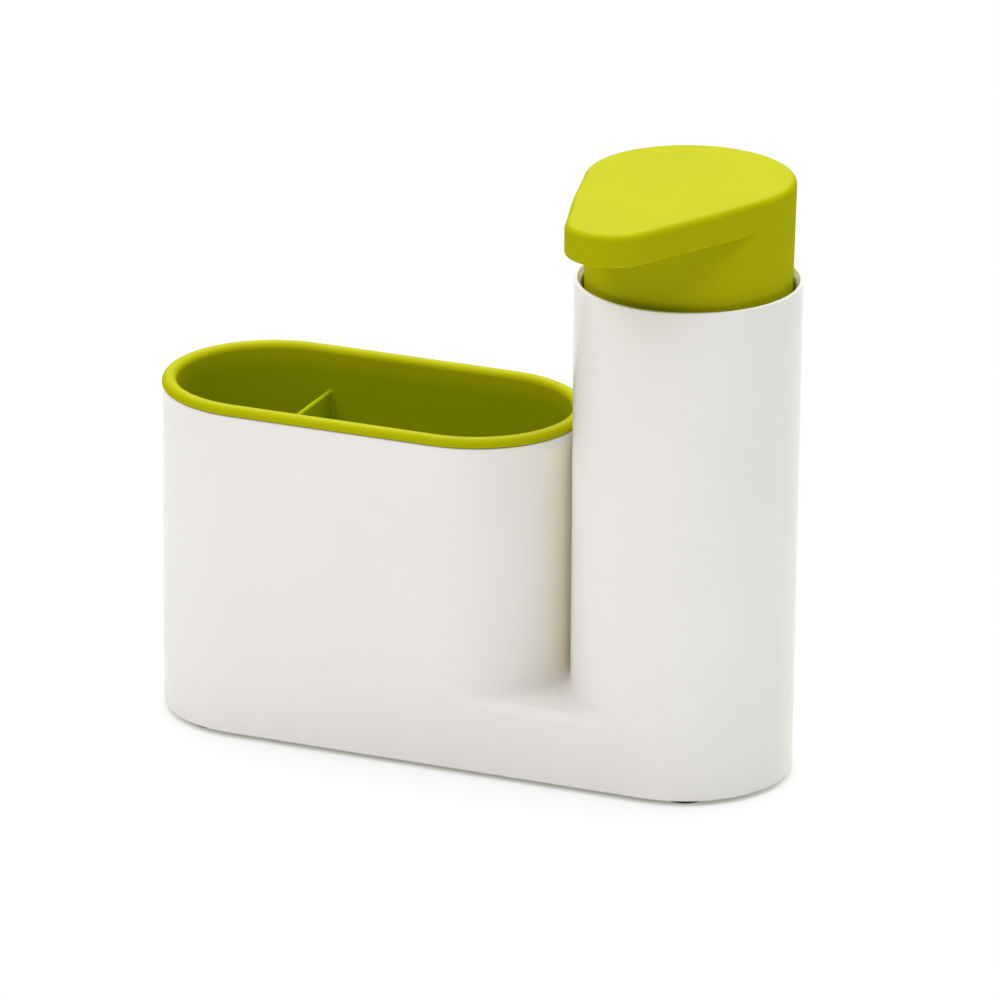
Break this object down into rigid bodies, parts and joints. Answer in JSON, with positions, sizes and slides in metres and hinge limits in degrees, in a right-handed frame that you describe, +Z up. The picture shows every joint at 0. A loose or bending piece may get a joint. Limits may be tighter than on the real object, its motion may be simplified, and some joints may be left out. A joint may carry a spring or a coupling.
{
  "type": "sink caddy",
  "caption": "Sink caddy: a low base joins a slot-shaped holder, with a lift-out brush pot, to a round tower with a soap dispenser whose teardrop pump head turns and presses down.",
  "frame": {"origin": "centre of the bounding box's underside, on the surface that the rubber feet stand on", "axes": "+X along the body from the brush pot to the soap tower; -Y the way that the spout points; +Z up"},
  "size_m": [0.1983, 0.0954, 0.1829],
  "materials": {
    "white_plastic": "gloss",
    "lime_plastic": "satin",
    "bottle_plastic": "milky, satin",
    "pump_plastic": "natural, satin",
    "dark_rubber": "matte",
    "seal_rubber": "matte",
    "stainless_steel": "bright",
    "glass_ball": "polished"
  },
  "bodies": {
    "caddy": {"body_shell": "white_plastic", "base_plate": "white_plastic", "rubber_foot_1": "dark_rubber", "rubber_foot_2": "dark_rubber", "rubber_foot_3": "dark_rubber", "rubber_foot_4": "dark_rubber", "base_screw_1": "stainless_steel", "base_screw_2": "stainless_steel", "base_screw_3": "stainless_steel", "base_screw_4": "stainless_steel"},
    "pot": {"brush_pot": "lime_plastic"},
    "bottle": {"soap_bottle": "bottle_plastic"},
    "pump": {"neck_gasket": "seal_rubber", "pump_housing": "pump_plastic", "stem_guide": "pump_plastic", "dip_tube": "pump_plastic", "return_spring": "stainless_steel"},
    "collar": {"pump_collar": "pump_plastic"},
    "plunger": {"pump_stem": "pump_plastic", "pump_piston": "seal_rubber", "valve_rod": "pump_plastic"},
    "head": {"pump_head": "lime_plastic", "spout_tube": "pump_plastic", "wing_cover": "lime_plastic"},
    "inlet_valve": {"inlet_ball": "glass_ball"},
    "outlet_valve": {"outlet_ball": "glass_ball"}
  },
  "joints": [
    {"name": "pot_lift", "type": "slide", "parent": "caddy", "child": "pot", "axis": [0, 0, 1], "range_m": [0, 0.095]},
    {"name": "dispenser_lift", "type": "slide", "parent": "caddy", "child": "bottle", "axis": [0, 0, 1], "range_m": [0, 0.145]},
    {"name": "pump_rise", "type": "slide", "parent": "bottle", "child": "pump", "axis": [0, 0, 1], "range_m": [0, 0.0046]},
    {"name": "collar_turn", "type": "hinge", "parent": "pump", "child": "collar", "pos_m": [0.0658, 0.01432, 0.14], "axis": [0, 0, 1], "range_deg": [0, 540]},
    {"name": "pump_press", "type": "slide", "parent": "pump", "child": "plunger", "axis": [0, 0, -1], "range_m": [0, 0.015], "stiffness_N_per_m": 500, "springref_m": -0.012, "deforming": ["return_spring"]},
    {"name": "head_swivel", "type": "hinge", "parent": "plunger", "child": "head", "pos_m": [0.0658, 0.01432, 0.17], "axis": [0, 0, 1], "continuous": true},
    {"name": "inlet_ball_lift", "type": "slide", "parent": "pump", "child": "inlet_valve", "axis": [0, 0, 1], "range_m": [0, 0.0015]},
    {"name": "outlet_ball_lift", "type": "slide", "parent": "plunger", "child": "outlet_valve", "axis": [0, 0, 1], "range_m": [0, 0.0012]}
  ],
  "couplings": [
    {"joint": "pump_rise", "follows": "collar_turn", "m_per_rad": 0.00047746}
  ]
}
